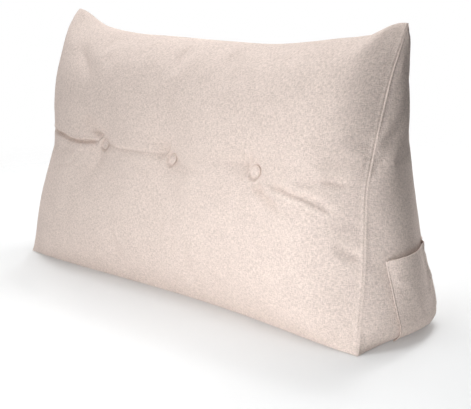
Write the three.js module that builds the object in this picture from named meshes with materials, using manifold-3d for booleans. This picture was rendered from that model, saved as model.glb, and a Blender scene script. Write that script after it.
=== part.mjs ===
// Wedge cushion that stands on its long flat base: a firmly filled, tufted back rest with
// a patch pocket on its right end. Millimetres, +Z up, +X to the right end, front at -Y.
// The origin is on the surface that the base rests on, at the middle of the length.

import * as THREE from 'three';
import { ParametricGeometry } from 'three/addons/geometries/ParametricGeometry.js';
import { mergeGeometries, mergeVertices } from 'three/addons/utils/BufferGeometryUtils.js';
import Module from 'manifold-3d';

const wasm = await Module();
wasm.setup();

// Driving dimensions of the filled cushion.
const LENGTH = 880;        // along the front bottom seam, corner to corner
const HEIGHT = 500;        // to the tip of the right ear
const BASE_ROUND = 26;     // width of the rounded strip inside the bottom seams
const FRONT_HEM_DRAW = 20; // how far filling draws the front bottom seam back
const BACK_HEM_DRAW = 12;
const END_HEM_DRAW = 5;
const FRONT_CROWN = 70;    // how far each panel swells past its seams
const BACK_CROWN = 62;
const ROLL = 58;           // the part of those swells that rolls over to the ends,
const ROLL_WIDTH = 110;    // and how wide a strip it takes
const END_CROWN = 0.22;    // swell of an end, as a part of its width at each height
const END_RISE = 60;       // height over which that swell grows from the bottom seam
const TOP_ROUNDING = 14;   // extra roundness of the soft top edge
const CHANNEL_DEPTH = 8;   // soft channel that the tufting pulls along the front
const CHANNEL_WIDTH = 70;
const END_FOLD_DEPTH = 5;  // sharper fold from the left button out to the left end
const END_FOLD_WIDTH = 18;
const DIMPLE_DEPTH = 15;
const DIMPLE_RADIUS = 30;
const TUFT_HEIGHT = 254;

// Covered buttons, in a row along the front.
const BUTTON_RADIUS = 11.3;
const BUTTON_DOME = 5.5;
const BUTTON_RIM = 1.8;    // height of the edge under the dome
const SEAT_CLEARANCE = 0.3;
const SEAT_SINK = 5;       // the seat is cut this far below the bottom of the dimple
const BUTTONS = [
  { name: 'button_left', along: -193, up: 257 },
  { name: 'button_middle', along: 1, up: 251 },
  { name: 'button_right', along: 206, up: 254 },
];

// Patch pocket: one layer of the same cloth, caught in the back and bottom seams.
const CLOTH = 2;
const POCKET_SEAM_GAP = 1.2;
const MOUTH_FRONT = 0.277; // place of the mouth, as a part of the end's height
const MOUTH_BACK = 0.311;
const POCKET_BOTTOM = 0.012;
const POCKET_BACK = 0.975;
const POCKET_FRONT_LOW = 0.3;
const POCKET_FRONT_HIGH = 0.18;
const FOOT_SWEEP = 0.12;   // how far the front edge sweeps back at the bottom seam
const MOUTH_GAP = 14;      // how far the mouth stands open at its middle

// Both triangular ends, a row for each height. drawnIn is measured from the end of
// LENGTH, front and back are the Y of the two upright seams at that height.
const RIGHT_END = [
  { rise: 0.002, drawnIn: 0, front: -108, back: 80 },
  { rise: 0.018, drawnIn: 2, front: -105, back: 93 },
  { rise: 0.045, drawnIn: 4, front: -101, back: 102 },
  { rise: 0.09, drawnIn: 7, front: -96, back: 99 },
  { rise: 0.15, drawnIn: 10, front: -88, back: 92 },
  { rise: 0.25, drawnIn: 16, front: -74, back: 82 },
  { rise: 0.37, drawnIn: 22, front: -65, back: 74 },
  { rise: 0.50, drawnIn: 28, front: -54, back: 66 },
  { rise: 0.60, drawnIn: 33, front: -33, back: 61 },
  { rise: 0.72, drawnIn: 36, front: -8, back: 63 },
  { rise: 0.85, drawnIn: 31, front: 11, back: 53 },
  { rise: 0.94, drawnIn: 20, front: 20, back: 39 },
  { rise: 0.995, drawnIn: 9, front: 20, back: 20 },
];
const LEFT_END = [
  { rise: 0.002, drawnIn: 0, front: -109, back: 80 },
  { rise: 0.018, drawnIn: 2, front: -106, back: 92 },
  { rise: 0.045, drawnIn: 4, front: -103, back: 98 },
  { rise: 0.15, drawnIn: 9, front: -94, back: 92 },
  { rise: 0.25, drawnIn: 13, front: -80, back: 80 },
  { rise: 0.34, drawnIn: 16, front: -64, back: 72 },
  { rise: 0.48, drawnIn: 22, front: -43, back: 60 },
  { rise: 0.60, drawnIn: 27, front: -38, back: 52 },
  { rise: 0.74, drawnIn: 28, front: -28, back: 48 },
  { rise: 0.86, drawnIn: 22, front: -8, back: 42 },
  { rise: 0.95, drawnIn: 17, front: 12, back: 36 },
  { rise: 1.006, drawnIn: 19, front: 32, back: 32 },
];

// The soft top edge between the two ears, a row for each place along it.
const TOP_EDGE = [
  { along: -407, deep: 31, up: 502 },
  { along: -392, deep: 30, up: 496 },
  { along: -370, deep: 27, up: 485 },
  { along: -340, deep: 23, up: 474 },
  { along: -295, deep: 18, up: 467 },
  { along: -230, deep: 14, up: 461.5 },
  { along: -100, deep: 10, up: 459 },
  { along: 60, deep: 8, up: 456 },
  { along: 170, deep: 9, up: 456 },
  { along: 245, deep: 11, up: 463 },
  { along: 300, deep: 13, up: 470 },
  { along: 345, deep: 16, up: 475 },
  { along: 372, deep: 17, up: 480 },
  { along: 390, deep: 18, up: 488 },
  { along: 408, deep: 20, up: 496 },
];

// Swell of a filled panel between two seams: 0 at both, 1 where it stands out most.
// A low power rises steeply off its seam, so that the cloth turns over roundly there.
function swell(t, startPower, endPower) {
  const peak = startPower / (startPower + endPower);
  const most = peak ** startPower * (1 - peak) ** endPower;
  return (Math.max(t, 0) ** startPower * Math.max(1 - t, 0) ** endPower) / most;
}

// Round edge of a filled panel: 0 at its seam, 1 from a width away on.
function rolledIn(distance, width) {
  return 1 - (1 - THREE.MathUtils.clamp(distance / width, 0, 1)) ** 2;
}

function smoothStep(t) {
  const s = THREE.MathUtils.clamp(t, 0, 1);
  return s * s * (3 - 2 * s);
}

// A seam is a function from 0..1 to a point.
function seamThrough(points) {
  const curve = new THREE.CatmullRomCurve3(points);
  return (t) => curve.getPointAt(t);
}

function uprightSeam(rows, side, edge) {
  const at = (row) => new THREE.Vector3(side * (LENGTH / 2 - row.drawnIn), row[edge], row.rise * HEIGHT);
  return seamThrough(rows.map(at));
}

function drawnSeam(start, end, pull) {
  return (t) => start.clone().lerp(end, t).add(pull(t));
}

const rightFront = uprightSeam(RIGHT_END, 1, 'front');
const rightBack = uprightSeam(RIGHT_END, 1, 'back');
const leftFront = uprightSeam(LEFT_END, -1, 'front');
const leftBack = uprightSeam(LEFT_END, -1, 'back');
const topEdge = seamThrough([
  leftFront(1),
  ...TOP_EDGE.map((row) => new THREE.Vector3(row.along, row.deep, row.up)),
  rightFront(1),
]);

// The front hem is drawn in most a little to the right of its middle.
const frontHem = drawnSeam(leftFront(0), rightFront(0), (t) =>
  new THREE.Vector3(0, FRONT_HEM_DRAW * Math.sin(Math.PI * t ** 1.3) ** 1.5, 0));
const backHem = drawnSeam(leftBack(0), rightBack(0), (t) =>
  new THREE.Vector3(0, -BACK_HEM_DRAW * Math.sin(Math.PI * t), 0));
const rightHem = drawnSeam(rightFront(0), rightBack(0), (t) =>
  new THREE.Vector3(-END_HEM_DRAW * Math.sin(Math.PI * t), 0, 0));
const leftHem = drawnSeam(leftFront(0), leftBack(0), (t) =>
  new THREE.Vector3(END_HEM_DRAW * Math.sin(Math.PI * t), 0, 0));

// Surface stretched between four seams that meet at their ends (a Coons patch).
function stretched(low, high, start, end, u, v) {
  const point = start(v).multiplyScalar(1 - u).addScaledVector(end(v), u);
  point.addScaledVector(low(u), 1 - v).addScaledVector(high(u), v);
  point.addScaledVector(low(0), -(1 - u) * (1 - v)).addScaledVector(low(1), -u * (1 - v));
  return point.addScaledVector(high(0), -(1 - u) * v).addScaledVector(high(1), -u * v);
}

// The buttons face forward and a little up.
const BUTTON_FACING = new THREE.Vector3(0, -0.98, 0.2).normalize();

// How far the tufting pulls the front in: channel, end fold and the dimples.
function tuftPull(x, z) {
  const off = z - TUFT_HEIGHT;
  const channel = Math.exp(-((off / CHANNEL_WIDTH) ** 2)) * CHANNEL_DEPTH;
  const reach = THREE.MathUtils.clamp((BUTTONS[0].along + 50 - x) / 150, 0, 1);
  const fold = Math.exp(-((off / END_FOLD_WIDTH) ** 2)) * END_FOLD_DEPTH * reach;
  const dimples = BUTTONS.map((button) => {
    const offButton = Math.max(Math.hypot(x - button.along, z - button.up) - BUTTON_RADIUS, 0);
    return DIMPLE_DEPTH * Math.exp(-((offButton / DIMPLE_RADIUS) ** 1.2));
  });
  return channel + fold + Math.max(...dimples);
}

// How far the front or back stands out between its seams.
function crown(u, v, most) {
  const across = ROLL * rolledIn(Math.min(u, 1 - u) * LENGTH, ROLL_WIDTH);
  const nearTop = (v * Math.sqrt(Math.max(1 - v, 0)) * Math.exp((v - 1) / 0.12)) / 0.15;
  const top = TOP_ROUNDING * swell(u, 0.7, 0.7) * nearTop;
  return (across + (most - ROLL) * swell(u, 1, 1)) * swell(v, 0.55, 0.43) + top;
}

function frontPanel(u, v) {
  const point = stretched(frontHem, topEdge, leftFront, rightFront, u, v);
  const offSeams = smoothStep(Math.min(u, 1 - u, v, 1 - v) / 0.06);
  point.y += offSeams * tuftPull(point.x, point.z) - crown(u, v, FRONT_CROWN);
  return point;
}

function backPanel(u, v) {
  const point = stretched(backHem, topEdge, leftBack, rightBack, u, v);
  point.y += crown(u, v, BACK_CROWN);
  return point;
}

// A triangular end: u runs from its front seam to its back seam, v up to the ear.
function endPanel(side, u, v) {
  const [front, back, hem] = side > 0 ? [rightFront, rightBack, rightHem] : [leftFront, leftBack, leftHem];
  const point = stretched(hem, () => front(1), front, back, u, v);
  const wide = front(v).distanceTo(back(v));
  point.x += side * END_CROWN * wide * swell(u, 0.85, 0.85) * rolledIn(v * HEIGHT, END_RISE);
  return point;
}

// The base is flat where it rests, and rounds up to its seams.
function basePanel(u, v) {
  const point = stretched(frontHem, backHem, leftHem, rightHem, u, v);
  const fromEnds = Math.min(u, 1 - u) * LENGTH;
  const fromHems = Math.min(v, 1 - v) * (rightBack(0).y - rightFront(0).y);
  point.z *= 1 - smoothStep(Math.min(fromEnds, fromHems) / BASE_ROUND);
  return point;
}

// Grid lines from 0 to 1 that lie closer together where the density is higher.
function spacedBy(density, steps) {
  const fine = 600;
  const sums = [0];
  for (let i = 0; i < fine; i++) {
    sums.push(sums[i] + density((i + 0.5) / fine));
  }
  const lines = [0];
  let cell = 0;
  for (let i = 1; i < steps; i++) {
    const target = (sums[fine] * i) / steps;
    while (cell < fine - 1 && sums[cell + 1] < target) {
      cell++;
    }
    lines.push((cell + (target - sums[cell]) / (sums[cell + 1] - sums[cell])) / fine);
  }
  lines.push(1);
  return lines;
}

const nearEnds = (t) => Math.exp(-t / 0.03) + Math.exp(-(1 - t) / 0.03);
const bump = (distance, width) => Math.exp(-((distance / width) ** 2));
const ALONG = spacedBy((t) => {
  const x = (t - 0.5) * LENGTH;
  const near = BUTTONS.map((button) => bump(x - button.along, DIMPLE_RADIUS));
  return 1 + 2.4 * nearEnds(t) + 2.2 * Math.max(...near);
}, 46);
const UP = spacedBy((t) => 1 + 2 * nearEnds(t) + 1.6 * bump(t - TUFT_HEIGHT / HEIGHT, 0.09), 26);
const DEEP = spacedBy((t) => 1 + 2.5 * nearEnds(t), 10);

// One panel as a grid of triangles. reversed turns the first direction round, so that
// the panel faces outwards.
function panelGeometry(panel, acrossLines, upLines, reversed) {
  const columns = acrossLines.length - 1;
  const rows = upLines.length - 1;
  const place = (s, t, target) => {
    const column = Math.round(s * columns);
    const u = acrossLines[reversed ? columns - column : column];
    target.copy(panel(u, upLines[Math.round(t * rows)]));
  };
  return new ParametricGeometry(place, columns, rows);
}

// Joins open panels along their shared edges into one closed surface.
function sewn(panels) {
  const loose = mergeGeometries(panels);
  loose.deleteAttribute('normal');
  loose.deleteAttribute('uv');
  const joined = mergeVertices(loose, 1e-3);
  const kept = [];
  const index = joined.index.array;
  for (let i = 0; i < index.length; i += 3) {
    const [a, b, c] = index.slice(i, i + 3);
    if (a !== b && b !== c && c !== a) {
      kept.push(a, b, c);
    }
  }
  joined.setIndex(kept);
  return joined;
}

function toManifold(geometry) {
  const vertProperties = new Float32Array(geometry.attributes.position.array);
  const triVerts = new Uint32Array(geometry.index.array);
  return new wasm.Manifold(new wasm.Mesh({ numProp: 3, vertProperties, triVerts }));
}

function fromManifold(solid) {
  const mesh = solid.getMesh();
  const geometry = new THREE.BufferGeometry();
  geometry.setAttribute('position', new THREE.BufferAttribute(mesh.vertProperties, 3));
  geometry.setIndex(new THREE.BufferAttribute(mesh.triVerts, 1));
  geometry.computeVertexNormals();
  return geometry;
}

// Turned solid whose axis runs out of the front panel, with its foot at a given point.
function turnedOnFront(profile, segments, foot) {
  const geometry = new THREE.LatheGeometry(profile.map(([r, h]) => new THREE.Vector2(r, h)), segments);
  const turn = new THREE.Quaternion().setFromUnitVectors(new THREE.Vector3(0, 1, 0), BUTTON_FACING);
  geometry.applyQuaternion(turn);
  geometry.translate(foot.x, foot.y, foot.z);
  return sewn([geometry]);
}

// The dimple's lowest point, on the front panel at the button's place.
function tuftPoint(button) {
  let u = (button.along + LENGTH / 2) / LENGTH;
  let v = button.up / HEIGHT;
  for (let i = 0; i < 12; i++) {
    const here = frontPanel(u, v);
    u += (button.along - here.x) / LENGTH;
    v += (button.up - here.z) / HEIGHT;
  }
  return frontPanel(u, v);
}

function seatFloor(button) {
  return tuftPoint(button).addScaledVector(BUTTON_FACING, -SEAT_SINK);
}

function makeCushion() {
  const shell = sewn([
    panelGeometry(frontPanel, ALONG, UP, false),
    panelGeometry(backPanel, ALONG, UP, true),
    panelGeometry((u, v) => endPanel(1, u, v), DEEP, UP, false),
    panelGeometry((u, v) => endPanel(-1, u, v), DEEP, UP, true),
    panelGeometry(basePanel, ALONG, DEEP, true),
  ]);
  let solid = toManifold(shell);
  const floorRadius = BUTTON_RADIUS + 2 * SEAT_CLEARANCE;
  for (const button of BUTTONS) {
    const seat = [[0, 0], [floorRadius, 0], [floorRadius + 4, 24], [0, 24]];
    solid = solid.subtract(toManifold(turnedOnFront(seat, 20, seatFloor(button))));
  }
  return fromManifold(solid);
}

// Button: flat back, short rim, shallow dome.
function makeButton(button) {
  const profile = [[0, 0], [BUTTON_RADIUS - 0.8, 0], [BUTTON_RADIUS, 0.8], [BUTTON_RADIUS, BUTTON_RIM]];
  const domeSteps = 5;
  for (let i = 1; i <= domeSteps; i++) {
    const angle = (Math.PI / 2) * (i / domeSteps);
    const radius = i < domeSteps ? BUTTON_RADIUS * Math.cos(angle) : 0;
    profile.push([radius, BUTTON_RIM + (BUTTON_DOME - BUTTON_RIM) * Math.sin(angle)]);
  }
  const foot = seatFloor(button).addScaledVector(BUTTON_FACING, SEAT_CLEARANCE);
  return turnedOnFront(profile, 20, foot);
}

function rightEndNormal(u, v) {
  const step = 0.004;
  const along = endPanel(1, u + step, v).sub(endPanel(1, u - step, v));
  const rising = endPanel(1, u, v + step).sub(endPanel(1, u, v - step));
  return along.cross(rising).normalize();
}

// The pocket follows the right end panel. s runs from its front seam to the back seam,
// t from the bottom seam up to the mouth, and lift is the distance off the panel.
function pocketPoint(s, t, layer) {
  const straight = THREE.MathUtils.lerp(POCKET_FRONT_LOW, POCKET_FRONT_HIGH, t ** 1.3);
  const frontEdge = straight + FOOT_SWEEP * Math.exp(-t / 0.12);
  const u = THREE.MathUtils.lerp(frontEdge, POCKET_BACK, s);
  const mouth = THREE.MathUtils.lerp(MOUTH_FRONT, MOUTH_BACK, s);
  const v = THREE.MathUtils.lerp(POCKET_BOTTOM, mouth, t);
  const slack = MOUTH_GAP * swell(s, 0.6, 1.2) * (1 - (1 - t) ** 3);
  const lift = POCKET_SEAM_GAP + slack + layer * CLOTH;
  return endPanel(1, u, v).addScaledVector(rightEndNormal(u, v), lift);
}

function makePocket() {
  const lines = spacedBy((t) => 1 + 1.5 * nearEnds(t), 16);
  const ends = [0, 1];
  return sewn([
    panelGeometry((s, t) => pocketPoint(s, t, 1), lines, lines, false),
    panelGeometry((s, t) => pocketPoint(s, t, 0), lines, lines, true),
    panelGeometry((layer, t) => pocketPoint(0, t, layer), ends, lines, false),
    panelGeometry((layer, t) => pocketPoint(1, t, layer), ends, lines, true),
    panelGeometry((layer, s) => pocketPoint(s, 0, layer), ends, lines, true),
    panelGeometry((layer, s) => pocketPoint(s, 1, layer), ends, lines, false),
  ]);
}

const cloth = new THREE.MeshStandardMaterial({ color: 0xdccdc2, roughness: 0.95, metalness: 0 });
const pocketCloth = new THREE.MeshStandardMaterial({ color: 0xc9bab0, roughness: 0.95, metalness: 0 });
const buttonCloth = new THREE.MeshStandardMaterial({ color: 0xd6c7bc, roughness: 0.95, metalness: 0 });

const wedgeCushion = new THREE.Group();

function addPiece(name, geometry, material) {
  const mesh = new THREE.Mesh(geometry, material);
  mesh.name = name;
  wedgeCushion.add(mesh);
}

addPiece('cushion', makeCushion(), cloth);
addPiece('side_pocket', makePocket(), pocketCloth);
for (const button of BUTTONS) {
  addPiece(button.name, makeButton(button), buttonCloth);
}

export default wedgeCushion;
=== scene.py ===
import math

import bpy
import numpy as np
from mathutils import Matrix, Vector


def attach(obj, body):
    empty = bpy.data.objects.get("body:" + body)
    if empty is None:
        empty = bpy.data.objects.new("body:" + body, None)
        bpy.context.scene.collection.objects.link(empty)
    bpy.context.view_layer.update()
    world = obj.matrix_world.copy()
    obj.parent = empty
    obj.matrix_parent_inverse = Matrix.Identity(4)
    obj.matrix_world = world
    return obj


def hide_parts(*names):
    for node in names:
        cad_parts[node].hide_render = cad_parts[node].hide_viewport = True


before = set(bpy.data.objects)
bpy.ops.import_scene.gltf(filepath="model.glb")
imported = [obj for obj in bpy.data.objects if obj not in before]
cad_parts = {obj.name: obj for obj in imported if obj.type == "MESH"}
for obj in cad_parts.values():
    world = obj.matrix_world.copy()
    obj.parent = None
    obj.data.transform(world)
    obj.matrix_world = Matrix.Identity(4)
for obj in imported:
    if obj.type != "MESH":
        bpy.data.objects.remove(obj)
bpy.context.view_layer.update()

# Cover and filling: a wedge sewn from a front, a back, a base and two triangular ends of
# heathered linen-look cloth, and stuffed hard, so that every panel swells between its
# seams. It is worked out in millimetres, on the same seams as the solid in the frame.
MM = 0.001
LENGTH = 880.0
HEIGHT = 500.0
# How far the front and the back stand out past their seams, and how they swell upwards
# from the hem and down from the top edge: the lower the power, the fuller there.
FRONT_CROWN = 70.0
BACK_CROWN = 62.0
UPRIGHT_SWELL = (0.55, 0.43)
# They roll over to the ends in a round edge, this deep and this wide: the higher the
# tightness, the tighter. The front's is tighter near the right ear, where it starts at
# this part of the height and grows over the next.
ROLL = 60.0
ROLL_WIDTH = 140.0
ROLL_TIGHTNESS = 3.0
FRONT_EAR_TIGHTNESS = 5.6
EAR_START = 0.45
EAR_BLEND = 0.4
# How far an end stands out, as a part of its width at that height.
END_CROWN = 0.22
END_SWELL = (0.85, 0.85)
END_RISE = 60.0
# The extra roundness of the top edge, how fast it fades down the panel, and the height of
# the curve that it follows.
TOP_ROUNDING = 14.0
TOP_SWELL = (0.7, 0.7)
TOP_FADE = 0.12
TOP_CURVE_HEIGHT = 0.15
# How far the filling draws the seams round the base inwards. The front one's bow is
# narrower, and lies to the right of its middle. Then the width of the base's round edge.
FRONT_HEM_DRAW = 20.0
FRONT_HEM_BIAS = 1.3
FRONT_HEM_POWER = 1.5
BACK_HEM_DRAW = 12.0
END_HEM_DRAW = 5.0
BASE_ROUND = 26.0


def table(columns, *rows):
    """Rows of numbers, as one array for each named column."""
    names = columns.split()
    return {name: np.array([row[i] for row in rows], float) for i, name in enumerate(names)}


# One row for each height. drawn_in is measured from the end of LENGTH, and front and
# back are where the two upright seams are at that height.
RIGHT_END = table(
    "rise drawn_in front back",
    (0.002, 0, -108, 80),
    (0.018, 2, -105, 93),
    (0.045, 4, -101, 102),
    (0.09, 7, -96, 99),
    (0.15, 10, -88, 92),
    (0.25, 16, -74, 82),
    (0.37, 22, -65, 74),
    (0.50, 28, -54, 66),
    (0.60, 33, -33, 61),
    (0.72, 36, -8, 63),
    (0.85, 31, 11, 53),
    (0.94, 20, 20, 39),
    (0.995, 9, 20, 20),
)
LEFT_END = table(
    "rise drawn_in front back",
    (0.002, 0, -109, 80),
    (0.018, 2, -106, 92),
    (0.045, 4, -103, 98),
    (0.15, 9, -94, 92),
    (0.25, 13, -80, 80),
    (0.34, 16, -64, 72),
    (0.48, 22, -43, 60),
    (0.60, 27, -38, 52),
    (0.74, 28, -28, 48),
    (0.86, 22, -8, 42),
    (0.95, 17, 12, 36),
    (1.006, 19, 32, 32),
)
# The soft top edge between the two ears.
TOP_EDGE = table(
    "along deep up",
    (-407, 31, 502),
    (-392, 30, 496),
    (-370, 27, 485),
    (-340, 23, 474),
    (-295, 18, 467),
    (-230, 14, 461.5),
    (-100, 10, 459),
    (60, 8, 456),
    (170, 9, 456),
    (245, 11, 463),
    (300, 13, 470),
    (345, 16, 475),
    (372, 17, 480),
    (390, 18, 488),
    (408, 20, 496),
)


def smooth_curve(points):
    """A seam: a function from 0..1, by length, to places on a curve through points."""
    points = np.asarray(points, float)
    steps = np.linalg.norm(np.diff(points, axis=0), axis=1)
    knots = np.concatenate([[0], np.cumsum(steps)]) / steps.sum()
    slopes = np.gradient(points, knots, axis=0, edge_order=2)

    def at(t):
        t = np.asarray(t, float)
        i = np.clip(np.searchsorted(knots, t, side="right") - 1, 0, len(knots) - 2)
        gap = (knots[i + 1] - knots[i])[..., None]
        s = (t - knots[i])[..., None] / gap
        start = (2 * s**3 - 3 * s**2 + 1) * points[i] + (s**3 - 2 * s**2 + s) * gap * slopes[i]
        end = (3 * s**2 - 2 * s**3) * points[i + 1] + (s**3 - s**2) * gap * slopes[i + 1]
        return start + end

    return at


def upright_seam(rows, side, edge):
    """The seam at the front or back edge of an end. side is 1 for the right end."""
    across = side * (LENGTH / 2 - rows["drawn_in"])
    return smooth_curve(np.stack([across, rows[edge], rows["rise"] * HEIGHT], -1))


def axis_shift(axis, amount):
    """Moves along one axis, 0 for x and 1 for y."""
    shift = np.zeros(amount.shape + (3,))
    shift[..., axis] = amount
    return shift


def drawn_seam(start, end, axis, draw, bias=1.0, power=1.0):
    """A straight seam between two places that the filling draws out in a bow."""

    def at(t):
        bow = draw * np.sin(np.pi * t**bias).clip(0) ** power
        return start + (end - start) * t[..., None] + axis_shift(axis, bow)

    return at


ZERO, ONE = np.zeros(1), np.ones(1)
right_front = upright_seam(RIGHT_END, 1, "front")
right_back = upright_seam(RIGHT_END, 1, "back")
left_front = upright_seam(LEFT_END, -1, "front")
left_back = upright_seam(LEFT_END, -1, "back")
top_points = np.stack([TOP_EDGE["along"], TOP_EDGE["deep"], TOP_EDGE["up"]], -1)
top_edge = smooth_curve(np.concatenate([left_front(ONE), top_points, right_front(ONE)]))
front_hem = drawn_seam(
    left_front(ZERO)[0], right_front(ZERO)[0], 1, FRONT_HEM_DRAW, FRONT_HEM_BIAS, FRONT_HEM_POWER
)
back_hem = drawn_seam(left_back(ZERO)[0], right_back(ZERO)[0], 1, -BACK_HEM_DRAW)
right_hem = drawn_seam(right_front(ZERO)[0], right_back(ZERO)[0], 0, -END_HEM_DRAW)
left_hem = drawn_seam(left_front(ZERO)[0], left_back(ZERO)[0], 0, END_HEM_DRAW)


def ease(t):
    t = np.clip(t, 0, 1)
    return t * t * (3 - 2 * t)


def swell(t, start_power, end_power):
    """0 at both seams and 1 where a filled panel stands out most."""
    peak = start_power / (start_power + end_power)
    most = peak**start_power * (1 - peak) ** end_power
    return t.clip(0, 1) ** start_power * (1 - t).clip(0, 1) ** end_power / most


def rolled_in(distance, width, tightness=ROLL_TIGHTNESS):
    """0 at a seam and 1 from a width away on, over a round edge."""
    return 1 - (1 - (distance / width).clip(0, 1)) ** tightness


def bump(distance, width):
    return np.exp(-((distance / width) ** 2))


def stretched(low, high, start, end, u, v):
    """A surface between four seams that meet at their ends."""
    across, rising = u[..., None], v[..., None]
    sides = (1 - across) * start(v) + across * end(v) + (1 - rising) * low(u) + rising * high(u)
    corners = (1 - across) * (1 - rising) * low(ZERO) + across * (1 - rising) * low(ONE)
    return sides - corners - (1 - across) * rising * high(ZERO) - across * rising * high(ONE)


# Tufting: a soft channel along the front and a dimple round each button, with a flat seat
# that the button fills. lap is how far the cloth laps over the button's upper left, where
# the channel pulls it.
BUTTONS = table("along up lap", (-193, 257, 5.0), (1, 251, 4.6), (206, 254, 2.4))
BUTTON_RADIUS = 11.3
UPPER_LEFT = (-0.8, 0, 0.6)
CHANNEL_DEPTH = 8.0
CHANNEL_WIDTH = 70.0
DIMPLE_DEPTH = 15.0
DIMPLE_RADIUS = 30.0
DIMPLE_POWER = 1.2
# The seat is this much wider than the button, and its wall this wide.
SEAT_DEPTH = 5.0
SEAT_ROOM = 0.9
SEAT_WALL = 4.0
# The tufting fades out over this part of the front beside its seams.
SEAM_MARGIN = 0.06


def tuft_pull(x, z):
    """How far the buttons draw the front in."""
    pull = CHANNEL_DEPTH * bump(z - BUTTONS["up"].mean(), CHANNEL_WIDTH)
    dimples = []
    for along, up, over in zip(*BUTTONS.values()):
        away = np.hypot(x - along, z - up)
        off_button = away - BUTTON_RADIUS
        to_upper_left = (x - along) * UPPER_LEFT[0] + (z - up) * UPPER_LEFT[2]
        lap = over * (to_upper_left / away.clip(1)).clip(0, 1)
        dimple = DIMPLE_DEPTH * np.exp(-((off_button.clip(0) / DIMPLE_RADIUS) ** DIMPLE_POWER))
        seat = 1 - ease((off_button - SEAT_ROOM + lap) / SEAT_WALL)
        dimples.append(dimple + SEAT_DEPTH * seat)
    return pull + np.max(dimples, axis=0)


def off_seams(u, v):
    return ease(np.minimum(np.minimum(u, 1 - u), np.minimum(v, 1 - v)) / SEAM_MARGIN)


def top_swell(u, v):
    """The extra roundness of the top edge, which fades into the ears and down the panel."""
    curve = v * np.sqrt((1 - v).clip(0, 1)) * np.exp((v - 1) / TOP_FADE)
    return TOP_ROUNDING * swell(u, *TOP_SWELL) * (curve / TOP_CURVE_HEIGHT)


def crown(u, v, most, ear_tightness=ROLL_TIGHTNESS):
    """How far the front or back stands out between its seams: at its middle, by most.

    ear_tightness is how tightly it rolls over to the right end near the ear."""
    near_ear = ease((v - EAR_START) / EAR_BLEND)
    tightness = ROLL_TIGHTNESS + (ear_tightness - ROLL_TIGHTNESS) * near_ear
    left = rolled_in(u * LENGTH, ROLL_WIDTH)
    right = rolled_in((1 - u) * LENGTH, ROLL_WIDTH, tightness)
    across = ROLL * np.minimum(left, right) + (most - ROLL) * swell(u, 1.0, 1.0)
    return across * swell(v, *UPRIGHT_SWELL) + top_swell(u, v)


def front_panel(u, v):
    """The front: u runs from its left seam to its right seam, v up to the top edge."""
    point = stretched(front_hem, top_edge, left_front, right_front, u, v)
    pull = off_seams(u, v) * tuft_pull(point[..., 0], point[..., 2])
    return point + axis_shift(1, pull - crown(u, v, FRONT_CROWN, FRONT_EAR_TIGHTNESS))


def back_panel(u, v):
    point = stretched(back_hem, top_edge, left_back, right_back, u, v)
    return point + axis_shift(1, crown(u, v, BACK_CROWN))


def end_panel(side, u, v):
    """A triangular end: u runs from its front seam to its back seam, v up to the ear."""
    hem, front, back = left_hem, left_front, left_back
    if side > 0:
        hem, front, back = right_hem, right_front, right_back
    point = stretched(hem, lambda t: front(np.ones_like(t)), front, back, u, v)
    wide = np.linalg.norm(back(v) - front(v), axis=-1)
    out = END_CROWN * wide * swell(u, *END_SWELL) * rolled_in(v * HEIGHT, END_RISE)
    return point + axis_shift(0, side * out)


def base_panel(u, v):
    """The base: flat on the floor, and rounded up to the seams all round."""
    point = stretched(front_hem, back_hem, left_hem, right_hem, u, v)
    depth = right_back(ZERO)[0, 1] - right_front(ZERO)[0, 1]
    edge = np.minimum(np.minimum(u, 1 - u) * LENGTH, np.minimum(v, 1 - v) * depth)
    point[..., 2] *= 1 - ease(edge / BASE_ROUND)
    return point


# For each panel: its surface, its grid lines along u and along v, and whether its squares
# have to be turned over to face outwards.
PANELS = {
    "front": (front_panel, "along", "up", False),
    "back": (back_panel, "along", "up", True),
    "right": (lambda u, v: end_panel(1, u, v), "deep", "up", False),
    "left": (lambda u, v: end_panel(-1, u, v), "deep", "up", True),
    "base": (base_panel, "along", "deep", True),
}
# The finished panels have extra grid lines by the buttons and along the row they stand in.
BUTTON_EXTRA = 2.0
BUTTON_REACH = 24.0
ROW_EXTRA = 2.4
ROW_REACH = 0.08


def spaced_by(density, steps):
    """Grid lines from 0 to 1 that lie closer together where the density is higher."""
    fine = np.linspace(0, 1, 4001)
    total = np.concatenate([[0], np.cumsum(density((fine[1:] + fine[:-1]) / 2))])
    return np.interp(np.linspace(0, total[-1], steps + 1), total, fine)


def near_ends(t, extra, reach):
    """A density of 1 with this much extra at both ends, which fades over a reach."""
    return 1 + extra * (np.exp(-t / reach) + np.exp(-(1 - t) / reach))


def near_buttons(t):
    gaps = [(t - 0.5) * LENGTH - along for along in BUTTONS["along"]]
    return BUTTON_EXTRA * np.max([bump(gap, BUTTON_REACH) for gap in gaps], axis=0)


def near_row(t):
    return ROW_EXTRA * bump(t - 0.5, ROW_REACH)


# The finished panels' grid lines each way: the extra ones by the seams, how far those
# reach, and the number of steps.
FINE = {
    "along": spaced_by(lambda t: near_ends(t, 3.2, 0.006) + near_buttons(t), 270),
    "up": spaced_by(lambda t: near_ends(t, 2.6, 0.012) + near_row(t), 152),
    "deep": spaced_by(lambda t: near_ends(t, 4.0, 0.02), 46),
}


def panel_grids(lines):
    """The points of every panel on the crossings of its grid lines."""
    made = {}
    for panel, (surface, across, rising, _) in PANELS.items():
        u, v = np.meshgrid(lines[across], lines[rising], indexing="ij")
        made[panel] = surface(u, v)
    return made


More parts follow.
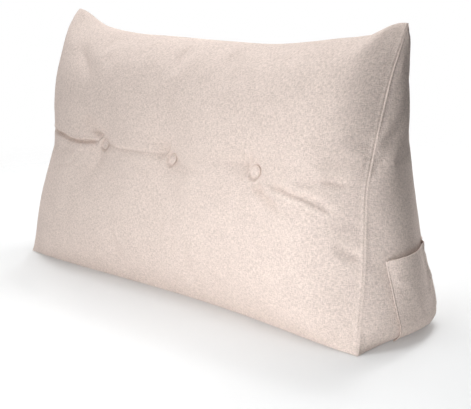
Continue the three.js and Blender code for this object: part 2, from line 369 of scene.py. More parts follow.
def off_edges(points):
    """How far each point of a grid is from the grid's four edges, in millimetres."""
    wide = np.linalg.norm(np.diff(points, axis=0), axis=-1)
    wide = np.concatenate([np.zeros((1, points.shape[1])), wide]).cumsum(axis=0)
    high = np.linalg.norm(np.diff(points, axis=1), axis=-1)
    high = np.concatenate([np.zeros((points.shape[0], 1)), high], axis=1).cumsum(axis=1)
    return {"start": wide, "end": wide[-1:] - wide, "low": high, "high": high[:, -1:] - high}


def evened(lengths, place):
    """Lengths across a panel with the folds and dimples smoothed out of them."""
    return np.polyval(np.polyfit(place, lengths, 3), place)


def weave_places(grid):
    """Where each point of a panel was on the flat cloth, in millimetres."""
    edges = off_edges(grid)
    across, rising = edges["start"].sum(axis=1), edges["low"].sum(axis=0)
    across, rising = across / across[-1] - 0.5, rising / rising[-1]
    rows, columns = evened(edges["start"][-1], rising), evened(edges["low"][:, -1], across)
    return np.stack([across[:, None] * rows, rising * columns[:, None]], -1)


# Points that are closer than this become one point.
WELD = 0.02
# The corners of every square of a grid, once round.
SQUARE = (np.s_[:-1, :-1], np.s_[1:, :-1], np.s_[1:, 1:], np.s_[:-1, 1:])


def sewn_mesh(name, grids):
    """One closed mesh of the panels' grids of points, welded along the seams they share.

    Also gives, for every grid point in turn, its place in the mesh."""
    points = np.concatenate([grid.reshape(-1, 3) for grid in grids.values()])
    _, first, place = np.unique(
        np.round(points / WELD).astype(int), axis=0, return_index=True, return_inverse=True
    )
    place = place.ravel()
    faces, weave = [], []
    start = 0
    for panel, grid in grids.items():
        index = place[start : start + grid.shape[0] * grid.shape[1]].reshape(grid.shape[:2])
        start += index.size
        weave_at = weave_places(grid)
        corners = SQUARE[::-1] if PANELS[panel][3] else SQUARE
        faces.append(np.stack([index[c] for c in corners], -1).reshape(-1, 4))
        weave.append(np.stack([weave_at[c] for c in corners], -2).reshape(-1, 4, 2))
    faces, weave = np.concatenate(faces), np.concatenate(weave)
    outlines = [list(dict.fromkeys(face)) for face in faces.tolist()]
    kept = [i for i, outline in enumerate(outlines) if len(outline) > 2]
    mesh = bpy.data.meshes.new(name)
    mesh.from_pydata((points[first] * MM).tolist(), [], [outlines[i] for i in kept])
    layer = mesh.uv_layers.new(name="weave")
    spread = [weave[i][faces[i].tolist().index(vertex)] for i in kept for vertex in outlines[i]]
    layer.data.foreach_set("uv", (np.array(spread) * MM).ravel())
    mesh.shade_smooth()
    return mesh, place


# Filling: the cover is blown up from inside while its seams and tufts are held, so that
# the cloth between them finds its own slack and pull. Only how far each place moves is
# kept, up to a limit, and it is added to the panels above.
TRIAL_LINES = {
    "along": np.linspace(0, 1, 111),
    "up": np.linspace(0, 1, 63),
    "deep": np.linspace(0, 1, 25),
}
TRIAL_PRESSURE = 4.0
TRIAL_SLACK = -0.005
TRIAL_FRAMES = 20
MOST_MOVED = 14.0
# The cloth is held within this distance of a button's middle.
TUFT_HOLD = 17.0
# What a length of 0 is divided by.
TINY = 1e-9


def held_points(grids):
    """1 for every grid point that a seam or a tuft holds, or that the cushion stands on."""
    held = []
    for panel, grid in grids.items():
        fixed = np.zeros(grid.shape[:2])
        fixed[[0, -1]] = 1
        fixed[:, [0, -1]] = 1
        if panel == "base":
            fixed[:] = 1
        if panel == "front":
            for along, up in zip(BUTTONS["along"], BUTTONS["up"]):
                fixed[np.hypot(grid[..., 0] - along, grid[..., 2] - up) < TUFT_HOLD] = 1
        held.append(fixed.ravel())
    return np.concatenate(held)


def filled_cover():
    """How far the filling moves every point of the coarse panels, in millimetres."""
    grids = panel_grids(TRIAL_LINES)
    mesh, place = sewn_mesh("filling_trial", grids)
    trial = bpy.data.objects.new("filling_trial", mesh)
    bpy.context.collection.objects.link(trial)
    hold = trial.vertex_groups.new(name="held")
    hold.add(np.unique(place[held_points(grids) > 0]).tolist(), 1.0, "REPLACE")
    cloth = trial.modifiers.new("filling", "CLOTH")
    cloth.settings.quality = 6
    cloth.settings.mass = 0.3
    cloth.settings.tension_stiffness = 20
    cloth.settings.compression_stiffness = 12
    cloth.settings.shear_stiffness = 8
    cloth.settings.bending_stiffness = 6
    cloth.settings.use_pressure = True
    cloth.settings.uniform_pressure_force = TRIAL_PRESSURE
    cloth.settings.shrink_min = TRIAL_SLACK
    cloth.settings.vertex_group_mass = "held"
    cloth.settings.effector_weights.gravity = 0
    cloth.collision_settings.use_collision = False
    cloth.point_cache.frame_start = 1
    cloth.point_cache.frame_end = TRIAL_FRAMES
    for number in range(1, TRIAL_FRAMES + 1):
        bpy.context.scene.frame_set(number)
    settled = trial.evaluated_get(bpy.context.evaluated_depsgraph_get()).data
    after, before = np.empty(len(mesh.vertices) * 3), np.empty(len(mesh.vertices) * 3)
    settled.vertices.foreach_get("co", after)
    mesh.vertices.foreach_get("co", before)
    moved = ((after - before) / MM).reshape(-1, 3)
    bpy.context.scene.frame_set(1)
    bpy.data.objects.remove(trial)
    far = np.linalg.norm(moved, axis=1, keepdims=True)
    moved *= np.minimum(1, MOST_MOVED / np.maximum(far, TINY))
    parts, start = {}, 0
    for panel, grid in grids.items():
        size = grid.shape[0] * grid.shape[1]
        parts[panel] = moved[place[start : start + size]].reshape(grid.shape)
        start += size
    return parts


def spline_weights(coarse, fine):
    """A matrix that carries values on evenly spaced lines over to the fine lines."""
    place = fine * (len(coarse) - 1)
    cell = np.clip(place.astype(int), 0, len(coarse) - 2)
    s = place - cell
    parts = [
        (-(s**3) + 2 * s**2 - s) / 2,
        (3 * s**3 - 5 * s**2 + 2) / 2,
        (-3 * s**3 + 4 * s**2 + s) / 2,
        (s**3 - s**2) / 2,
    ]
    weights = np.zeros((len(fine), len(coarse)))
    for offset, part in zip((-1, 0, 1, 2), parts):
        line = np.clip(cell + offset, 0, len(coarse) - 1)
        np.add.at(weights, (np.arange(len(fine)), line), part)
    return weights


grids = panel_grids(FINE)
for panel, moved in filled_cover().items():
    _, across, rising, _ = PANELS[panel]
    weights = spline_weights(TRIAL_LINES[across], FINE[across])
    moved = np.einsum("ai,ijk->ajk", weights, moved)
    weights = spline_weights(TRIAL_LINES[rising], FINE[rising])
    grids[panel] += np.einsum("bj,ajk->abk", weights, moved)

# Folds of the front panel, each along a line of places (along, up) in millimetres. width
# is the half width of the valley, lean makes its upper side steeper (above 0) or its
# lower side, lip is the roll of cloth that the fold pushes up on both sides, and fade is
# the part of the line over which the fold comes in and goes out.
FOLDS = (
    # The deep fold from the left end into the left button, and the creases at its end.
    {"depth": 11, "width": 3.2, "lean": 0.5, "lip": 2.2, "fade": (0.45, 0.1),
     "line": ((-415, 270), (-380, 271), (-346, 268), (-307, 266), (-283, 259), (-251, 259),
              (-225, 260), (-207, 260))},
    {"depth": 6, "width": 3.4, "lean": 0.0, "lip": 1, "fade": (0.5, 0.05),
     "line": ((-236, 280), (-219, 279), (-204, 273), (-199, 266))},
    {"depth": 5.5, "width": 3.4, "lean": 0.0, "lip": 1, "fade": (0.5, 0.05),
     "line": ((-219, 294), (-207, 289), (-196, 280), (-190, 270))},
    {"depth": 9, "width": 12, "lean": 0.0, "lip": 1, "fade": (0.6, 0.05),
     "line": ((-262, 318), (-236, 298), (-214, 280), (-201, 266))},
    # Below the left button.
    {"depth": 2, "width": 4, "lean": 0.0, "lip": 0.5, "fade": (0.3, 0.3),
     "line": ((-350, 190), (-317, 201), (-283, 210), (-263, 225), (-252, 239), (-233, 248))},
    {"depth": 5, "width": 14, "lean": 0.0, "lip": 0.5, "fade": (0.15, 0.6),
     "line": ((-193, 241), (-207, 219), (-222, 203), (-241, 181))},
    # Between the left and the middle button.
    {"depth": 3.6, "width": 4.6, "lean": 0.2, "lip": 0.8, "fade": (0.05, 0.1),
     "line": ((-181, 260), (-142, 257), (-121, 256), (-82, 259), (-45, 259), (-24, 260),
              (-9, 258))},
    {"depth": 10, "width": 13, "lean": 0.0, "lip": 0.4, "fade": (0.9, 0.05),
     "line": ((-56, 290), (-29, 275), (-17, 267), (-8, 260))},
    # Between the middle and the right button.
    {"depth": 3, "width": 8, "lean": 0.0, "lip": 0.6, "fade": (0.05, 0.5),
     "line": ((12, 247), (51, 245), (80, 244), (108, 244))},
    {"depth": 9, "width": 12, "lean": 0.2, "lip": 0.6, "fade": (0.9, 0.05),
     "line": ((102, 265), (132, 266), (158, 266), (181, 266), (198, 262))},
    {"depth": 3, "width": 6, "lean": 0.0, "lip": 0.6, "fade": (0.6, 0.1),
     "line": ((178, 291), (188, 279), (197, 267))},
    # Out of the right button.
    {"depth": 7, "width": 5, "lean": 0.0, "lip": 1.5, "fade": (0.1, 0.5),
     "line": ((213, 242), (221, 233), (236, 226), (251, 219), (265, 214), (291, 206),
              (302, 204))},
    {"depth": 5, "width": 3.6, "lean": -0.2, "lip": 1.6, "fade": (0.25, 0.15),
     "line": ((240, 245), (263, 241), (282, 240), (303, 236), (324, 233), (341, 229), (354, 224),
              (369, 218), (382, 215))},
    {"depth": 3.5, "width": 4, "lean": 0.0, "lip": 0.8, "fade": (0.3, 0.3),
     "line": ((322, 239), (344, 235), (359, 230), (375, 226))},
    # Soft pulls beside the right seam, below the left ear and below the top edge.
    {"depth": 7, "width": 7, "lean": 0.0, "lip": 1.0, "fade": (0.3, 0.4),
     "line": ((350, 264), (364, 261), (375, 260), (396, 254))},
    {"depth": 5, "width": 6, "lean": 0.0, "lip": 1.0, "fade": (0.5, 0.1),
     "line": ((383, 172), (393, 159), (416, 146))},
    {"depth": 10, "width": 17, "lean": 0.0, "lip": 2.5, "fade": (0.3, 0.6),
     "line": ((-335, 448), (-315, 437), (-280, 416), (-248, 393), (-224, 369), (-209, 346))},
    {"depth": 3, "width": 12, "lean": 0.0, "lip": 0.5, "fade": (0.5, 0.5),
     "line": ((-200, 431), (-202, 417), (-206, 400))},
    {"depth": 3, "width": 14, "lean": 0.0, "lip": 0.5, "fade": (0.4, 0.5),
     "line": ((-129, 415), (-122, 387), (-122, 356))},
    {"depth": 2.5, "width": 14, "lean": 0.0, "lip": 0.5, "fade": (0.4, 0.5),
     "line": ((-73, 424), (-64, 394), (-66, 366))},
)
# The shape across a fold: how square its valley is, and where its lip lies and how wide it
# is, in half widths of the valley.
VALLEY_POWER = 1.3
LIP_PLACE = 2.6
LIP_WIDTH = 1.3
# The folds fade out over this distance from the seams and from the top edge.
SEAM_CLEAR = 14.0
TOP_CLEAR = 24.0


def along_line(x, z, line):
    """For each place: how far it is from a line, on which side, and how far along the line."""
    line = np.array(line, float)
    lengths = np.linalg.norm(np.diff(line, axis=0), axis=1)
    starts = np.concatenate([[0], np.cumsum(lengths)])
    nearest = np.full(x.shape, np.inf)
    signed = np.zeros(x.shape)
    part = np.zeros(x.shape)
    for (ax, az), (bx, bz), length, before in zip(line[:-1], line[1:], lengths, starts):
        t = (((x - ax) * (bx - ax) + (z - az) * (bz - az)) / length**2).clip(0, 1)
        dx, dz = x - ax - t * (bx - ax), z - az - t * (bz - az)
        away = np.hypot(dx, dz)
        closer = away < nearest
        side = np.sign((bx - ax) * dz - (bz - az) * dx) * np.sign(bx - ax)
        nearest = np.where(closer, away, nearest)
        signed = np.where(closer, away * side, signed)
        part = np.where(closer, (before + t * length) / starts[-1], part)
    return nearest, signed, part


def fold_depth(x, z, fold):
    """How far one fold draws the cloth in, less what its lip stands out."""
    away, signed, part = along_line(x, z, fold["line"])
    start, end = fold["fade"]
    strength = ease(part / start) * ease((1 - part) / end)
    width = fold["width"] * np.where(signed > 0, 1 - fold["lean"], 1 + fold["lean"])
    valley = fold["depth"] * np.exp(-((away / width) ** VALLEY_POWER))
    lip = fold["lip"] * bump(away - LIP_PLACE * width, LIP_WIDTH * width)
    return strength * (valley - lip)


def unit(vectors):
    return vectors / np.maximum(np.linalg.norm(vectors, axis=-1, keepdims=True), TINY)


def facing(points):
    """Unit normals of a grid of points, by the sense of its two directions."""
    return unit(np.cross(np.gradient(points, axis=0), np.gradient(points, axis=1)))


# Beside a line of stitching the cloth stands up in a small roll, and the line itself is
# drawn tight. For each panel, the sides that are sewn, with the roll's height and width.
STITCH_WIDTH = 1.4
SEWN = {
    "front": {"start": (1.0, 3.4), "end": (2.2, 3.8), "low": (0.8, 6)},
    "back": {"start": (1.0, 3.4), "end": (1.0, 3.4), "low": (0.8, 6)},
    "right": {"start": (2.0, 3.0), "end": (1.5, 2.6), "low": (0.8, 5)},
    "left": {"start": (1.5, 2.6), "end": (1.5, 2.6), "low": (0.8, 5)},
    "base": {},
}
for panel, points in grids.items():
    outward = facing(points) * (-1 if PANELS[panel][3] else 1)
    edges = off_edges(points)
    rise = np.zeros(points.shape[:2])
    for side, (height, width) in SEWN[panel].items():
        rise += height * bump(edges[side], width)
    rise *= 1 - bump(np.min(list(edges.values()), axis=0), STITCH_WIDTH)
    if panel == "front":
        clear = ease(np.minimum(edges["start"], edges["end"]) / SEAM_CLEAR)
        clear *= ease(edges["low"] / SEAM_CLEAR)
        clear *= ease(edges["high"] / TOP_CLEAR)
        for fold in FOLDS:
            rise -= clear * fold_depth(points[..., 0], points[..., 2], fold)
    grids[panel] = points + outward * rise[..., None]

cushion_mesh, _ = sewn_mesh("cushion_cover", grids)
cushion = bpy.data.objects.new("cushion_cover", cushion_mesh)
bpy.context.collection.objects.link(cushion)


class Wire:
    """One shader socket, with the sums that are used on it as Python operators."""

    def __init__(self, nodes, socket):
        self.nodes = nodes
        self.socket = socket

    def maths(self, operation, *others):
        return self.nodes.add("ShaderNodeMath", {"operation": operation}, [self, *others])

    def __add__(self, other):
        return self.maths("ADD", other)

    def __mul__(self, other):
        return self.maths("MULTIPLY", other)

    def __sub__(self, other):
        return self.maths("SUBTRACT", other)

    def __rsub__(self, other):
        return self.nodes.add("ShaderNodeMath", {"operation": "SUBTRACT"}, [other, self])

    __radd__ = __add__
    __rmul__ = __mul__


class Nodes:
    """The shader nodes of a material or of the world, added one by one."""

    def __init__(self, owner):
        owner.use_nodes = True
        self.tree = owner.node_tree
        self.tree.nodes.clear()

    def add(self, kind, settings=None, inputs=(), output=0):
        """One node: its settings are set first, then the values or links of its inputs."""
        node = self.tree.nodes.new(kind)
        for key, value in (settings or {}).items():
            setattr(node, key, value)
        pairs = inputs.items() if isinstance(inputs, dict) else enumerate(inputs)
        for key, value in pairs:
            if isinstance(value, Wire):
                self.tree.links.new(value.socket, node.inputs[key])
            else:
                node.inputs[key].default_value = value
        return Wire(self, node.outputs[output]) if node.outputs else None


# Cloth: a plain weave of slubby two-tone yarn. The mottling is a few millimetres long,
# along both threads, with softer patches. The weave itself is a bump.
CLOTH_LIGHT = (0.86, 0.737, 0.674, 1)
CLOTH_DARK = (0.60, 0.506, 0.456, 1)
SHEEN_TINT = (1.0, 0.84, 0.77, 1)
# The scale of each pattern, about how many of it there are to a metre. A slub of the yarn
# is longer along its thread than across it.
SLUBS_ACROSS, SLUBS_ALONG = 560, 190
SLACKS = 150.0
PATCHES = 30.0
THREADS = 330.0
# How much each adds to the tone, and what is taken off so that the sum lies between the
# dark and the light.
SLUB_TONE = 2.2
SLACK_TONE = 0.8
PATCH_TONE = 0.45
TONE_SHIFT = 2.32
# How much the weave adds to the relief of the yarn, and how high the relief is in metres.
THREAD_HEIGHT = 0.5
CLOTH_RELIEF = 0.0007


def heathered_cloth(name, light, dark, coordinates):
    """Cloth whose threads follow the named output of the texture coordinates."""
    material = bpy.data.materials.new(name)
    finish = Nodes(material)
    place = finish.add("ShaderNodeTexCoord", output=coordinates)

    def slubs(scale):
        stretched_place = finish.add("ShaderNodeMapping", inputs={"Vector": place, "Scale": scale})
        slub = {"Vector": stretched_place, "Scale": 1.0, "Detail": 3.0, "Roughness": 0.6}
        return finish.add("ShaderNodeTexNoise", inputs=slub)

    def mottling(scale, detail):
        mottle = {"Vector": place, "Scale": scale, "Detail": detail}
        return finish.add("ShaderNodeTexNoise", inputs=mottle)

    def ridges(axis):
        settings = {"wave_type": "BANDS", "bands_direction": axis}
        return finish.add("ShaderNodeTexWave", settings, {"Vector": place, "Scale": THREADS})

    warp = slubs((SLUBS_ACROSS, SLUBS_ALONG, SLUBS_ACROSS))
    weft = slubs((SLUBS_ALONG, SLUBS_ACROSS, SLUBS_ALONG))
    slack = mottling(SLACKS, 2.0)
    patch = mottling(PATCHES, 3.0)
    yarn = (warp + weft) * SLUB_TONE + slack * SLACK_TONE + patch * PATCH_TONE - TONE_SHIFT
    tone = finish.add("ShaderNodeMix", {"data_type": "RGBA"}, {0: yarn, 6: dark, 7: light}, 2)
    relief = {
        "Strength": 0.5,
        "Distance": CLOTH_RELIEF,
        "Height": ridges("X") * ridges("Y") * THREAD_HEIGHT + yarn,
    }
    bumped = finish.add("ShaderNodeBump", inputs=relief)
    surface = finish.add(
        "ShaderNodeBsdfPrincipled",
        inputs={
            "Base Color": tone,
            "Roughness": 0.95,
            "Normal": bumped,
            "Sheen Weight": 0.25,
            "Sheen Roughness": 0.5,
            "Sheen Tint": SHEEN_TINT,
            "Specular IOR Level": 0.2,
        },
    )
    finish.add("ShaderNodeOutputMaterial", inputs={"Surface": surface})
    return material


cover_cloth = heathered_cloth("cover_cloth", CLOTH_LIGHT, CLOTH_DARK, "UV")
cushion_mesh.materials.append(cover_cloth)
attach(cushion, "root")
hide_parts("cushion")

# Buttons: three domed shells covered with the same cloth, drawn into the front by thread.
# The cloth is gathered round the rim. Each button fills the seat in its dimple, and leans
# in under the cloth at its upper left.
BUTTON_RISE = 5.5
BUTTON_SIDES = 72
BUTTON_FACING = Vector((0, -0.98, 0.2))
# How far a button stands off its seat, and what each millimetre of lap turns it towards
# its upper left and sinks it by.
STANDS_OFF = 0.4
LEAN = 0.05
SUNK = 0.35
RIM_GATHERS = 18
GATHER_DEPTH = 0.012
GATHER_WANDER = 1.3
# The underside's part of the radius, and for each ring of the dome above it, its part of
# the radius and of the rise.
UNDERSIDE = 0.8
BUTTON_RINGS = ((0.96, 0.06), (1.0, 0.2), (1.0, 0.34), (0.97, 0.47), (0.9, 0.62), (0.8, 0.74),
                (0.66, 0.85), (0.5, 0.93), (0.34, 0.975), (0.17, 0.995), (0.04, 1.0))
button_cloth = heathered_cloth("button_cloth", CLOTH_LIGHT, CLOTH_DARK, "Object")


def front_place(along, up):
    """The point of the front panel at a given place along and up."""
    u, v = along / LENGTH + 0.5, up / HEIGHT
    for _ in range(20):
        point = front_panel(np.array([u]), np.array([v]))[0]
        u += (along - point[0]) / LENGTH
        v += (up - point[2]) / HEIGHT
    return point


def covered_button(side, along, up, lap):
    """One button, seated in the front at its place along and up."""
    bpy.ops.object.select_all(action="DESELECT")
    bpy.ops.mesh.primitive_circle_add(
        vertices=BUTTON_SIDES, radius=UNDERSIDE * BUTTON_RADIUS * MM, fill_type="NGON"
    )
    button = bpy.context.object
    button.name = f"covered_button_{side}"
    bpy.ops.object.mode_set(mode="EDIT")
    bpy.ops.mesh.select_all(action="SELECT")
    radius, rise = UNDERSIDE, 0.0
    for next_radius, next_rise in BUTTON_RINGS:
        bpy.ops.mesh.extrude_region_move(
            TRANSFORM_OT_translate={"value": (0, 0, (next_rise - rise) * BUTTON_RISE * MM)}
        )
        grow = next_radius / radius
        bpy.ops.transform.resize(value=(grow, grow, 1), center_override=(0, 0, 0))
        radius, rise = next_radius, next_rise
    bpy.ops.mesh.select_all(action="SELECT")
    bpy.ops.mesh.normals_make_consistent(inside=False)
    bpy.ops.object.mode_set(mode="OBJECT")
    for vertex in button.data.vertices:
        angle = math.atan2(vertex.co.y, vertex.co.x)
        low = 1 - vertex.co.z / (BUTTON_RISE * MM)
        wander = GATHER_WANDER * math.sin(3 * angle + along)
        gather = 1 + GATHER_DEPTH * low * math.cos(RIM_GATHERS * angle + wander)
        vertex.co.x *= gather
        vertex.co.y *= gather
    button.data.shade_smooth()
    seat = Vector(front_place(along, up)) * MM
    leaning = BUTTON_FACING + Vector(UPPER_LEFT) * float(LEAN * lap)
    button.rotation_euler = leaning.to_track_quat("Z", "Y").to_euler()
    button.location = seat + float(STANDS_OFF - SUNK * lap) * MM * BUTTON_FACING
    bpy.ops.object.transform_apply(location=True, rotation=True, scale=True)
    button.data.materials.append(button_cloth)
    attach(button, "root")
    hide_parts(f"button_{side}")


for side, *place in zip(("left", "middle", "right"), *BUTTONS.values()):
    covered_button(side, *place)

# Pocket: a patch of the same cloth on the right end, hemmed along its mouth and front
# edge, and caught in the back and bottom seams. It hangs a little open.
POCKET_CLOTH = 1.2
POCKET_WIDE, POCKET_HIGH = 120.0, 136.0
POCKET_LINES = spaced_by(lambda t: near_ends(t, 2.0, 0.05), 72)
# Where its edges lie on the end panel, as parts of the panel's width and height. The front
# edge slants from low to high and sweeps back at the bottom seam, over a short reach.
POCKET_BOTTOM = 0.012
POCKET_BACK = 0.975
POCKET_FRONT_LOW = 0.3
POCKET_FRONT_HIGH = 0.18
POCKET_FRONT_POWER = 1.3
FOOT_SWEEP = 0.12
FOOT_REACH = 0.12
# The mouth's height at the front edge and at the back seam. It stands open by its gap,
# which swells along the mouth and fades down the pocket to the gap at the seams.
MOUTH_FRONT, MOUTH_BACK = 0.277, 0.311
MOUTH_GAP = 7.0
MOUTH_SWELL = (0.7, 1.9)
MOUTH_POWER = 1.8
POCKET_SEAM_GAP = 0.4
# How wide the hem is at the mouth and at the front edge. It is thicker, up to a slope just
# past its width, and a line of stitching is pressed in just inside that.
HEM = 7.0
EDGE_FOLD = 2.2
HEM_THICK = 0.5
HEM_PAST = 1.0
HEM_SLOPE = 1.5
STITCH_DEPTH = 0.5
STITCH_INSIDE = 0.5
STITCH_HALF = 1.1
# The ridge that the front edge stands up in.
RIDGE_HEIGHT = 1.1
RIDGE_WIDTH = 1.6
# Pulls in the pocket's cloth, each along a line of places (s, t) from 0 to 1: how far it
# stands out and its half width, in millimetres. They fade at the front edge, the back seam
# and the bottom, over these parts of the pocket.
FRONT_FADE, BACK_FADE, BOTTOM_FADE = 0.12, 0.06, 0.12
POCKET_PULLS = (
    (3.5, 6, ((0.82, 1.0), (0.80, 0.62))),
    (3.2, 6, ((0.97, 0.86), (0.84, 0.66), (0.74, 0.5))),
    (4.2, 8, ((1.0, 0.6), (0.9, 0.48), (0.8, 0.32))),
    (1.5, 11, ((0.1, 0.8), (0.3, 0.6), (0.42, 0.3))),
)


def on_grid(grid, across, rising, u, v):
    """The place at u and v on a grid of points that stands on the given lines."""
    i = np.interp(u, across, np.arange(len(across)))
    j = np.interp(v, rising, np.arange(len(rising)))
    a, b = np.minimum(i.astype(int), len(across) - 2), np.minimum(j.astype(int), len(rising) - 2)
    p, q = (i - a)[..., None], (j - b)[..., None]
    low = grid[a, b] * (1 - p) + grid[a + 1, b] * p
    high = grid[a, b + 1] * (1 - p) + grid[a + 1, b + 1] * p
    return low * (1 - q) + high * q


# s runs from the front edge to the back seam, and t from the bottom seam to the mouth.
s, t = np.meshgrid(POCKET_LINES, POCKET_LINES, indexing="ij")
front_edge = POCKET_FRONT_LOW + (POCKET_FRONT_HIGH - POCKET_FRONT_LOW) * t**POCKET_FRONT_POWER
front_edge += FOOT_SWEEP * np.exp(-t / FOOT_REACH)
pocket_u = front_edge + (POCKET_BACK - front_edge) * s
mouth = MOUTH_FRONT + (MOUTH_BACK - MOUTH_FRONT) * s
pocket_v = POCKET_BOTTOM + (mouth - POCKET_BOTTOM) * t
under_pocket = on_grid(grids["right"], FINE["deep"], FINE["up"], pocket_u, pocket_v)
pocket_facing = facing(end_panel(1, pocket_u, pocket_v))
lift = POCKET_SEAM_GAP + MOUTH_GAP * swell(s, *MOUTH_SWELL) * t**MOUTH_POWER
for out, width, line in POCKET_PULLS:
    line = [(a * POCKET_WIDE, b * POCKET_HIGH) for a, b in line]
    away, _, _ = along_line(s * POCKET_WIDE, t * POCKET_HIGH, line)
    pull = out * bump(away, width) * ease(s / FRONT_FADE)
    lift += pull * ease((1 - s) / BACK_FADE) * ease(t / BOTTOM_FADE)
off_mouth, off_front = (1 - t) * POCKET_HIGH, s * POCKET_WIDE
for away, turned in ((off_mouth, HEM), (off_front, EDGE_FOLD)):
    stitching = STITCH_DEPTH * bump(away - turned + STITCH_INSIDE, STITCH_HALF)
    lift += HEM_THICK * ease((turned + HEM_PAST - away) / HEM_SLOPE) - stitching
lift += RIDGE_HEIGHT * bump(off_front, RIDGE_WIDTH)
lift = lift.clip(POCKET_SEAM_GAP)
outer = under_pocket + pocket_facing * (lift + POCKET_CLOTH)[..., None]
inner = under_pocket + pocket_facing * lift[..., None]


def rim_loop(grid):
    """The points round the edge of a grid, once round, in the sense of its outward side."""
    return np.concatenate([grid[:-1, 0], grid[-1, :-1], grid[:0:-1, -1], grid[0, :0:-1]])


def sheet_mesh(name, outer, inner, weave):
    """A closed sheet between two grids of points, with a rounded edge all round."""
    shape = outer.shape[:2]
    count = shape[0] * shape[1]
    index = np.arange(count).reshape(shape)
    front = np.stack([index[corner] for corner in SQUARE], -1).reshape(-1, 4)
    middle = rim_loop((outer + inner) / 2)
    through = rim_loop(outer) - rim_loop(inner)
    away = unit(np.cross(through, np.roll(middle, 1, axis=0) - np.roll(middle, -1, axis=0)))
    fold = middle + away * 0.5 * np.linalg.norm(through, axis=-1, keepdims=True)
    rim = rim_loop(index)
    edge = 2 * count + np.arange(len(rim))
    strips = []
    for upper, lower in ((rim, edge), (edge, rim + count)):
        strips.append(np.stack([upper, lower, np.roll(lower, -1), np.roll(upper, -1)], -1))
    faces = np.concatenate([front, front[:, ::-1] + count, *strips])
    mesh = bpy.data.meshes.new(name)
    points = np.concatenate([outer.reshape(-1, 3), inner.reshape(-1, 3), fold])
    mesh.from_pydata((points * MM).tolist(), [], faces.tolist())
    spread = np.concatenate([weave.reshape(-1, 2), weave.reshape(-1, 2), rim_loop(weave)])
    mesh.uv_layers.new(name="weave").data.foreach_set("uv", (spread[faces.ravel()] * MM).ravel())
    mesh.shade_smooth()
    return mesh


pocket_weave = np.stack([off_front, -off_mouth], -1)
pocket_mesh = sheet_mesh("side_pocket_cloth", outer, inner, pocket_weave)
pocket = bpy.data.objects.new("side_pocket_cloth", pocket_mesh)
bpy.context.collection.objects.link(pocket)
pocket_cloth = heathered_cloth("pocket_cloth", CLOTH_LIGHT, CLOTH_DARK, "UV")
pocket_mesh.materials.append(pocket_cloth)
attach(pocket, "root")
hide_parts("side_pocket")

# Floor: a round sheet of white paper that glows a little, as on a light table. Its rim
# fades into the white room over the fade's width.
FLOOR_RADIUS = 1.7
FLOOR_SIDES = 96
FLOOR_FADE = 1.05
FLOOR_GLOW = 0.155
FLOOR_WHITE = (0.752, 0.763, 0.767, 1)
bpy.ops.object.select_all(action="DESELECT")
bpy.ops.mesh.primitive_circle_add(vertices=FLOOR_SIDES, radius=FLOOR_RADIUS, fill_type="NGON")
floor = bpy.context.object
floor.name = "studio_floor"
floor_paper = bpy.data.materials.new("floor_paper")
paper = Nodes(floor_paper)
white_paper = paper.add(
    "ShaderNodeBsdfPrincipled",
    inputs={
        "Base Color": FLOOR_WHITE,
        "Roughness": 0.9,
        "Specular IOR Level": 0.1,
        "Emission Color": (1, 1, 1, 1),
        "Emission Strength": FLOOR_GLOW,
    },
)
from_middle = paper.add(
    "ShaderNodeVectorMath",
    {"operation": "LENGTH"},
    [paper.add("ShaderNodeTexCoord", output="Object")],
    "Value",
)
rim = paper.add(
    "ShaderNodeMapRange",
    {"interpolation_type": "SMOOTHSTEP"},
    {"Value": from_middle, "From Min": FLOOR_RADIUS - FLOOR_FADE, "From Max": FLOOR_RADIUS},
)
clear = paper.add("ShaderNodeBsdfTransparent")
faded = paper.add("ShaderNodeMixShader", inputs={0: rim, 1: white_paper, 2: clear})
paper.add("ShaderNodeOutputMaterial", inputs={"Surface": faded})
floor.data.materials.append(floor_paper)

# Studio: a plain white room that shows behind the floor and sheds no light itself. The
# light comes from soft boxes and from two far lights.
room = bpy.data.worlds.new("studio")
bpy.context.scene.world = room
walls = Nodes(room)
walls.add(
    "ShaderNodeOutputWorld",
    inputs={"Surface": walls.add("ShaderNodeBackground", inputs={"Color": (1, 1, 1, 1)})},
)
for kind in ("diffuse", "glossy", "transmission", "scatter"):
    setattr(room.cycles_visibility, kind, False)


def soft_light(name, place, target, size, power, spread=180):
    """A soft box aimed at a target. A spread under 180 degrees is a box with a grid."""
    light = bpy.data.lights.new(name, "AREA")
    light.spread = math.radians(spread)
    light.shape = "RECTANGLE"
    light.size, light.size_y = size
    light.energy = power
    holder = bpy.data.objects.new(name, light)
    bpy.context.collection.objects.link(holder)
    holder.visible_camera = False
    aim = (Vector(target) - Vector(place)).to_track_quat("-Z", "Y")
    holder.matrix_world = Matrix.Translation(place) @ aim.to_matrix().to_4x4()


# The large boxes round the cushion, then the small gridded ones that lift one place each.
soft_light("front_low", (0.45, -1.3, 0.28), (0.2, 0, 0.2), (0.6, 0.4), 8.8)
soft_light("top_box", (0, 0, 2.2), (0, 0, 0), (1.6, 1.6), 30.5)
soft_light("left_top", (-1.5, 0.3, 1.2), (-0.2, 0, 0.3), (0.8, 0.8), 9.5)
soft_light("back_box", (0, 1.9, 1.0), (0, 0, 0.2), (1.5, 0.8), 16.0)
soft_light("back_top", (0, 1.3, 2.0), (0, 0, 0.3), (1.4, 0.8), 3.5)
soft_light("ridge_grid", (0, 0.9, 1.6), (0, 0, 0.46), (0.4, 0.4), 0.1, 22)
soft_light("middle_grid", (0.15, -1.5, 0.3), (0, -0.1, 0.08), (0.4, 0.3), 0.06, 32)
soft_light("right_grid", (0.45, -1.5, 0.3), (0.3, -0.1, 0.08), (0.4, 0.3), 0.06, 32)
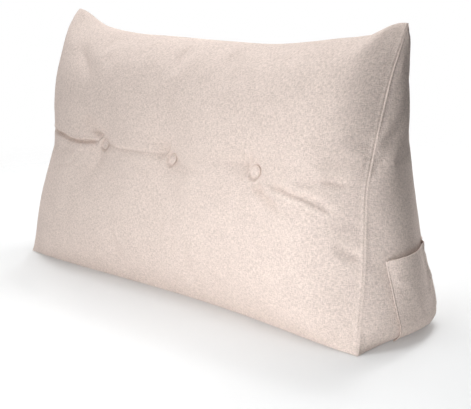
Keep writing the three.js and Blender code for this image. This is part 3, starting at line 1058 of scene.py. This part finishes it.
soft_light("corner_grid", (0.5, -1.5, 0.3), (0.35, -0.1, 0.24), (0.4, 0.3), 0.11, 32)
soft_light("side_grid", (1.7, -0.5, 0.3), (0.44, 0, 0.06), (0.3, 0.3), 0.03, 14)


def far_light(name, place, spread, power):
    """A light far off in the direction of a place. A wider spread softens its shadows."""
    light = bpy.data.lights.new(name, "SUN")
    light.energy = power
    light.angle = math.radians(spread)
    holder = bpy.data.objects.new(name, light)
    bpy.context.collection.objects.link(holder)
    holder.matrix_world = (-Vector(place)).to_track_quat("-Z", "Y").to_matrix().to_4x4()


far_light("shadow_light", (-0.19, 0.53, 1.0), 8, 0.551)
far_light("front_left", (-0.5, -1.0, 0.5), 20, 0.30)

# Camera: eye level a little above the cushion, in front of its right end. Its focus and
# the centre of its view are in pixels of the photograph's frame.
CAMERA_TURN = math.radians(44.4)
CAMERA_PITCH = math.radians(12.72)
CAMERA_ROLL = math.radians(-0.81)
CAMERA_DISTANCE = 1.7687
CAMERA_TARGET = (0.1204, 0.0, 0.1941)
CAMERA_FOCUS_PIXELS = 993.2
PHOTO_WIDTH, PHOTO_HEIGHT = 471, 409
PHOTO_CENTRE = (255.1, 191.2)

lens = bpy.data.cameras.new("camera")
camera = bpy.data.objects.new("camera", lens)
bpy.context.collection.objects.link(camera)
turn = Matrix.Rotation(CAMERA_TURN, 4, "Z") @ Matrix.Rotation(math.pi / 2 - CAMERA_PITCH, 4, "X")
turn = turn @ Matrix.Rotation(CAMERA_ROLL, 4, "Z")
step_back = Matrix.Translation((0, 0, CAMERA_DISTANCE))
camera.matrix_world = Matrix.Translation(CAMERA_TARGET) @ turn @ step_back
lens.sensor_fit = "HORIZONTAL"
lens.lens = CAMERA_FOCUS_PIXELS / PHOTO_WIDTH * lens.sensor_width
lens.shift_x = (PHOTO_WIDTH / 2 - PHOTO_CENTRE[0]) / PHOTO_WIDTH
lens.shift_y = (PHOTO_CENTRE[1] - PHOTO_HEIGHT / 2) / PHOTO_WIDTH
lens.clip_end = 200
bpy.context.scene.camera = camera
bpy.context.scene.view_settings.view_transform = "Standard"
